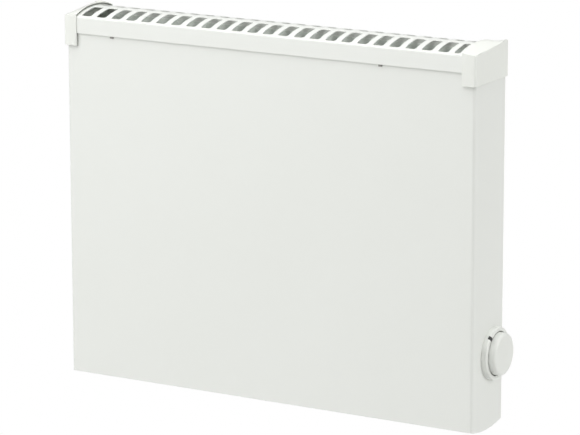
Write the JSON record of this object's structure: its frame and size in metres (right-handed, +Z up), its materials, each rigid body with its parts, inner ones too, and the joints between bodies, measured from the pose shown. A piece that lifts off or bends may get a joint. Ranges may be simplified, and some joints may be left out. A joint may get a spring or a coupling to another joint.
{
  "type": "wall panel convector heater",
  "caption": "Flat wall-hung convector heater: white sheet-steel panel, arched slotted outlet grille with moulded end caps, side thermostat knob and wall bracket with quarter-turn catches.",
  "frame": {"origin": "centre of the wall bracket's four screw holes, on the wall's surface", "axes": "+X to the right seen from the room, +Y into the wall, +Z up"},
  "size_m": [0.464, 0.0851, 0.3796],
  "materials": {
    "casing_paint": "smooth white powder coat",
    "grille_paint": "smooth white powder coat",
    "cap_plastic": "white moulded plastic, fine satin",
    "knob_plastic": "white moulded plastic, soft gloss",
    "mark_plastic": "black moulded plastic",
    "rear_steel": "zinc-coated sheet steel",
    "bracket_steel": "white painted sheet steel",
    "shield_aluminium": "bright rolled aluminium",
    "fin_aluminium": "dull aluminium",
    "sheath_steel": "heat-tinted stainless sheath",
    "ceramic": "glazed steatite",
    "control_plastic": "black thermosetting plastic",
    "block_plastic": "natural polyamide",
    "spindle_steel": "turned steel",
    "copper_tube": "drawn copper",
    "lead_insulation": "silicone insulation",
    "gland_plastic": "black polyamide",
    "catch_plastic": "black glass-filled polyamide",
    "screw_steel": "blackened steel"
  },
  "bodies": {
    "heater": {"front_panel": "casing_paint", "rear_panel": "rear_steel", "top_grille": "grille_paint", "bottom_grille": "casing_paint", "end_cap_left": "cap_plastic", "end_cap_right": "cap_plastic", "knob_bezel": "knob_plastic", "index_mark": "mark_plastic", "thermostat_body": "control_plastic", "thermostat_nut": "spindle_steel", "thermostat_bulb": "copper_tube", "thermostat_capillary": "copper_tube", "bulb_clips": "spindle_steel", "heating_element": "sheath_steel", "element_fins": "fin_aluminium", "element_bushings": "ceramic", "element_brackets": "rear_steel", "heat_shield": "shield_aluminium", "thermal_cutout": "control_plastic", "terminal_block": "block_plastic", "earth_stud": "spindle_steel", "lead_to_thermostat": "lead_insulation", "lead_to_cutout": "lead_insulation", "lead_to_element": "lead_insulation", "cable_gland": "gland_plastic", "wall_bracket": "bracket_steel", "base_screws": "screw_steel", "grille_clips": "screw_steel"},
    "thermostat": {"thermostat_knob": "knob_plastic", "thermostat_spindle": "spindle_steel"},
    "left_catch": {"catch_left": "catch_plastic"},
    "right_catch": {"catch_right": "catch_plastic"}
  },
  "joints": [
    {"name": "thermostat_turn", "type": "hinge", "parent": "heater", "child": "thermostat", "pos_m": [0.225, -0.0385, -0.1112], "axis": [-1, 0, 0], "range_deg": [0, 270]},
    {"name": "left_catch_turn", "type": "hinge", "parent": "heater", "child": "left_catch", "pos_m": [-0.102, -0.018, 0.138], "axis": [0, 1, 0], "range_deg": [0, 90]},
    {"name": "right_catch_turn", "type": "hinge", "parent": "heater", "child": "right_catch", "pos_m": [0.102, -0.018, 0.138], "axis": [0, -1, 0], "range_deg": [0, 90]}
  ]
}
